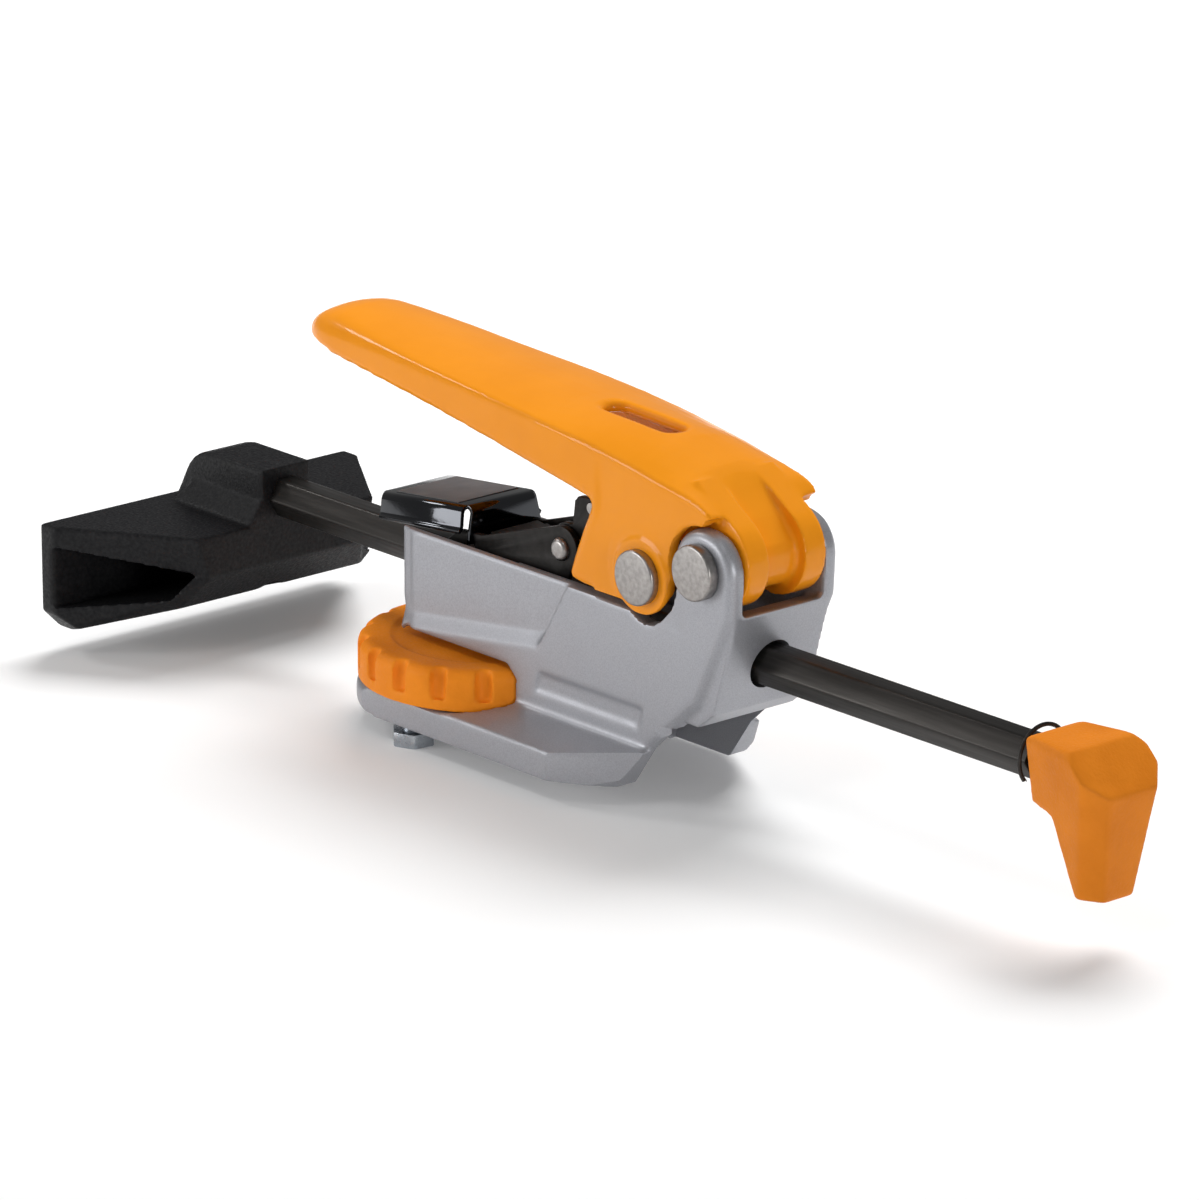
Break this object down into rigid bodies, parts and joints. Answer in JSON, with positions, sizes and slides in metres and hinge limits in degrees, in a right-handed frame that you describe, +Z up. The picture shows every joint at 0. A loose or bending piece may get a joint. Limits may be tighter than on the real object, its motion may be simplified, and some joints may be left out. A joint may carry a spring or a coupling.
{
  "type": "t-track clamp",
  "caption": "Toggle clamp for a T-track: a lever pushes a wide jaw on a hexagonal rod, a release plate frees the rod, and a knob below tightens a T-bolt in the track.",
  "frame": {"origin": "on the T-bolt's axis at the underside of the base", "axes": "+Z up, -X towards the jaw, +X towards the stop, the track runs along Y"},
  "size_m": [0.3871, 0.113, 0.1112],
  "materials": {
    "casting": "satin cast silver",
    "zinc": "zinc plated",
    "dark_steel": "dark oxide",
    "bright_steel": "nickel plated",
    "black_plastic": "fine moulded texture",
    "orange_plastic": "fine moulded texture",
    "orange_paint": "gloss powder coat",
    "chromed": "polished",
    "label": "bare sticker"
  },
  "bodies": {
    "base": {"body": "casting", "guide_screws": "zinc", "pivot_pin": "bright_steel", "pivot_clip": "bright_steel"},
    "lever_arm": {"lever": "orange_paint", "link_pin": "bright_steel", "link_pin_clip": "bright_steel", "link_spacers": "bright_steel"},
    "link_pair": {"links": "dark_steel", "horn_pin": "bright_steel"},
    "slide_carriage": {"carriage": "dark_steel", "carriage_rivet": "bright_steel", "jam_spring": "bright_steel", "release_pin": "bright_steel"},
    "jam_pack": {"jam_plates": "dark_steel"},
    "release": {"release_plate": "chromed", "release_label": "label"},
    "push_rod": {"rod": "dark_steel", "jaw": "black_plastic", "jaw_screw": "zinc", "stop": "orange_plastic", "stop_clip": "dark_steel"},
    "knob_wheel": {"knob": "orange_plastic", "knob_nut": "zinc"},
    "track_bolt": {"t_bolt": "zinc"}
  },
  "joints": [
    {"name": "lever_hinge", "type": "hinge", "parent": "base", "child": "lever_arm", "pos_m": [0.1086, 0, 0.0673], "axis": [0, 1, 0], "range_deg": [0, 60]},
    {"name": "link_hinge", "type": "hinge", "parent": "lever_arm", "child": "link_pair", "pos_m": [0.0855, 0, 0.0606], "axis": [0, 1, 0], "range_deg": [-95, 0]},
    {"name": "carriage_slide", "type": "slide", "parent": "base", "child": "slide_carriage", "axis": [1, 0, 0], "range_m": [0, 0.01562]},
    {"name": "release_press", "type": "hinge", "parent": "slide_carriage", "child": "release", "pos_m": [0.0051, 0, 0.04832], "axis": [0, 1, 0], "range_deg": [-3, 0], "stiffness_Nm_per_rad": 2},
    {"name": "jam_turn", "type": "hinge", "parent": "slide_carriage", "child": "jam_pack", "pos_m": [0.0085, 0, 0.0336], "axis": [0, 1, 0], "range_deg": [-3, 0]},
    {"name": "rod_slide", "type": "slide", "parent": "base", "child": "push_rod", "axis": [1, 0, 0], "range_m": [-0.1, 0.05]},
    {"name": "knob_spin", "type": "hinge", "parent": "base", "child": "knob_wheel", "pos_m": [0, 0, 0.014], "axis": [0, 0, 1], "range_deg": [-480, 1080]},
    {"name": "bolt_lift", "type": "slide", "parent": "base", "child": "track_bolt", "axis": [0, 0, 1], "range_m": [-0.00382, 0.0017]}
  ],
  "couplings": [
    {"joint": "link_hinge", "follows": "lever_hinge", "ratio": -1.58},
    {"joint": "carriage_slide", "follows": "lever_hinge", "m_per_rad": 0.014897},
    {"joint": "jam_turn", "follows": "release_press", "ratio": 1},
    {"joint": "bolt_lift", "follows": "knob_spin", "m_per_rad": -0.00020213}
  ]
}
